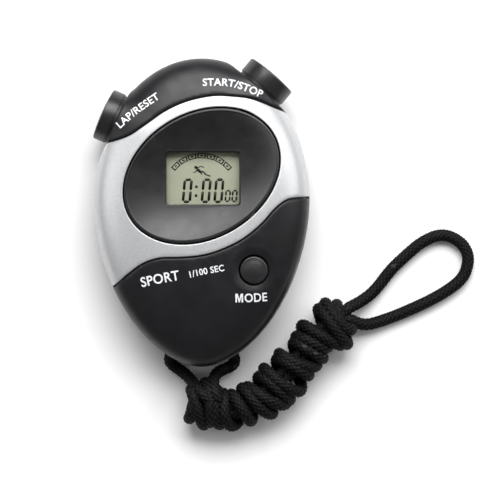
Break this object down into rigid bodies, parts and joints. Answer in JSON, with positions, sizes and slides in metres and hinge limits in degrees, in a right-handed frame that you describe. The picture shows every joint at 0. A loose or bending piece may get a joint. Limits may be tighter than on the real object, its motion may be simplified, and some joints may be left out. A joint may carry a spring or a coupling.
{
  "type": "digital stopwatch",
  "caption": "Egg-shaped handheld digital stopwatch with crown buttons, a face button, an oval-framed display and a wound neck cord.",
  "frame": {"origin": "centre of the flat rear face that the stopwatch rests on, midway along the case", "axes": "+Z out of the display, +Y towards the hood with the crown buttons, +X towards the START/STOP side"},
  "size_m": [0.1034, 0.1006, 0.021],
  "materials": {
    "charcoal_plastic": "satin",
    "black_plastic": "fine texture",
    "silver_plastic": "metallic silver lacquer",
    "bezel_plastic": "polished",
    "clear_window": "polished clear acrylic",
    "plated_steel": "plated",
    "spring_steel": "bright",
    "cell_steel": "bright",
    "seal_rubber": "matte",
    "zebra_rubber": "matte",
    "board_laminate": "green solder mask",
    "display_glass": "liquid crystal cell, grey-green",
    "white_plastic": "matte",
    "epoxy": "gloss",
    "ceramic": "matte",
    "brass": "bright",
    "black_cord": "braided polyester"
  },
  "bodies": {
    "case": {"front_shell": "charcoal_plastic", "silver_panel": "silver_plastic", "display_bezel": "bezel_plastic", "display_lens": "clear_window", "rear_shell": "black_plastic", "case_screws": "plated_steel", "start_spring": "spring_steel", "lap_spring": "spring_steel", "mode_rubber_pad": "seal_rubber", "circuit_board": "board_laminate", "board_screws": "plated_steel", "lcd_panel": "display_glass", "lcd_frame": "white_plastic", "zebra_strips": "zebra_rubber", "chip_cover": "epoxy", "quartz_crystal": "plated_steel", "chip_parts": "ceramic", "piezo_disc": "brass", "piezo_spring": "spring_steel", "battery": "cell_steel", "battery_contact_pos": "spring_steel", "battery_contact_neg": "spring_steel", "start_contact": "spring_steel", "lap_contact": "spring_steel", "lanyard_tail": "black_cord", "lanyard_bundle": "black_cord", "lanyard_loop": "black_cord"},
    "start_stop_key": {"start_stop_button": "charcoal_plastic"},
    "lap_reset_key": {"lap_reset_button": "charcoal_plastic"},
    "mode_key": {"mode_button": "charcoal_plastic"},
    "battery_hatch": {"battery_cap": "black_plastic", "battery_seal": "seal_rubber"}
  },
  "joints": [
    {"name": "start_stop_press", "type": "slide", "parent": "case", "child": "start_stop_key", "axis": [-0.6494, -0.7604, 0], "range_m": [0, 0.0007], "stiffness_N_per_m": 500, "springref_m": -0.003, "deforming": ["start_spring"]},
    {"name": "lap_reset_press", "type": "slide", "parent": "case", "child": "lap_reset_key", "axis": [0.9135, -0.4067, 0], "range_m": [0, 0.0007], "stiffness_N_per_m": 500, "springref_m": -0.003, "deforming": ["lap_spring"]},
    {"name": "mode_press", "type": "slide", "parent": "case", "child": "mode_key", "axis": [0, 0, -1], "range_m": [0, 0.0008], "stiffness_N_per_m": 400, "springref_m": -0.002, "deforming": ["mode_rubber_pad"]},
    {"name": "battery_cap_turn", "type": "hinge", "parent": "case", "child": "battery_hatch", "pos_m": [0, -0.012, 0], "axis": [0, 0, -1], "range_deg": [0, 60]}
  ]
}
